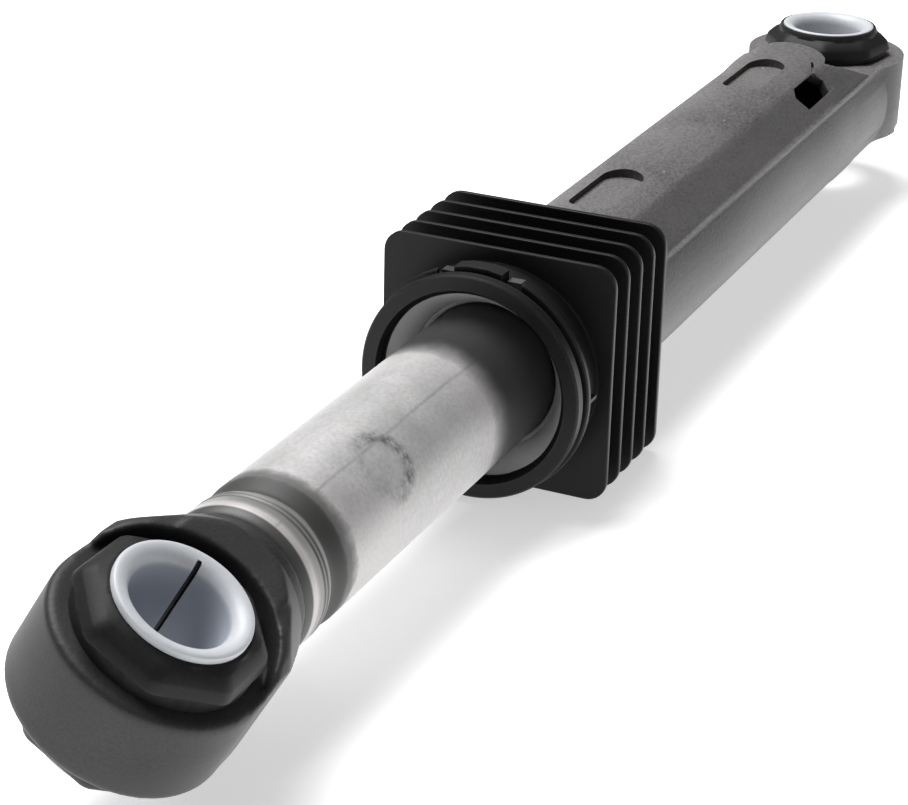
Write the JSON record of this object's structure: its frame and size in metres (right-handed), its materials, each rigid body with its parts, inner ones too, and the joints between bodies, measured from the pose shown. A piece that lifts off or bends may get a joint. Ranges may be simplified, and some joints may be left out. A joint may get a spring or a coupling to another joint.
{
  "type": "washing machine shock absorber",
  "caption": "Friction damper for a washing machine tub: a hollow steel rod with a plastic eye slides in a long plastic housing with a finned collar and a slotted eye.",
  "frame": {"origin": "where the axis of the bore of the housing's eye, the end opposite the rod, crosses the damper's own axis", "axes": "X along the damper, the rod end towards -X; +Z along the bore of the housing's eye, out of the slotted face of the housing; Y completes the right-hand frame"},
  "size_m": [0.3007, 0.038, 0.038],
  "materials": {
    "housing_plastic": "matt grained dark grey moulding",
    "collar_plastic": "semi-gloss black moulding",
    "guide_plastic": "satin grey moulding",
    "pad_foam": "greased open foam",
    "rod_steel": "zinc plated, half bright",
    "rod_end_plastic": "semi-gloss black moulding",
    "bush_rubber": "dull black rubber",
    "sleeve_plastic": "natural white, slightly translucent"
  },
  "bodies": {
    "housing": {"housing": "housing_plastic", "finned_collar": "collar_plastic", "mouth_guide": "guide_plastic", "friction_pad": "pad_foam", "pad_retainer": "guide_plastic", "housing_bush": "bush_rubber", "housing_sleeve": "sleeve_plastic"},
    "rod_guide": {"rod_guide": "guide_plastic"},
    "rod": {"rod_tube": "rod_steel", "rod_end": "rod_end_plastic", "rod_bush": "bush_rubber", "rod_sleeve": "sleeve_plastic"}
  },
  "joints": [
    {"name": "rod_slide", "type": "slide", "parent": "housing", "child": "rod_guide", "axis": [1, 0, 0], "range_m": [-0.0085, 0.075]},
    {"name": "rod_spin", "type": "hinge", "parent": "rod_guide", "child": "rod", "pos_m": [-0.1252, 0, 0], "axis": [1, 0, 0], "continuous": true}
  ]
}
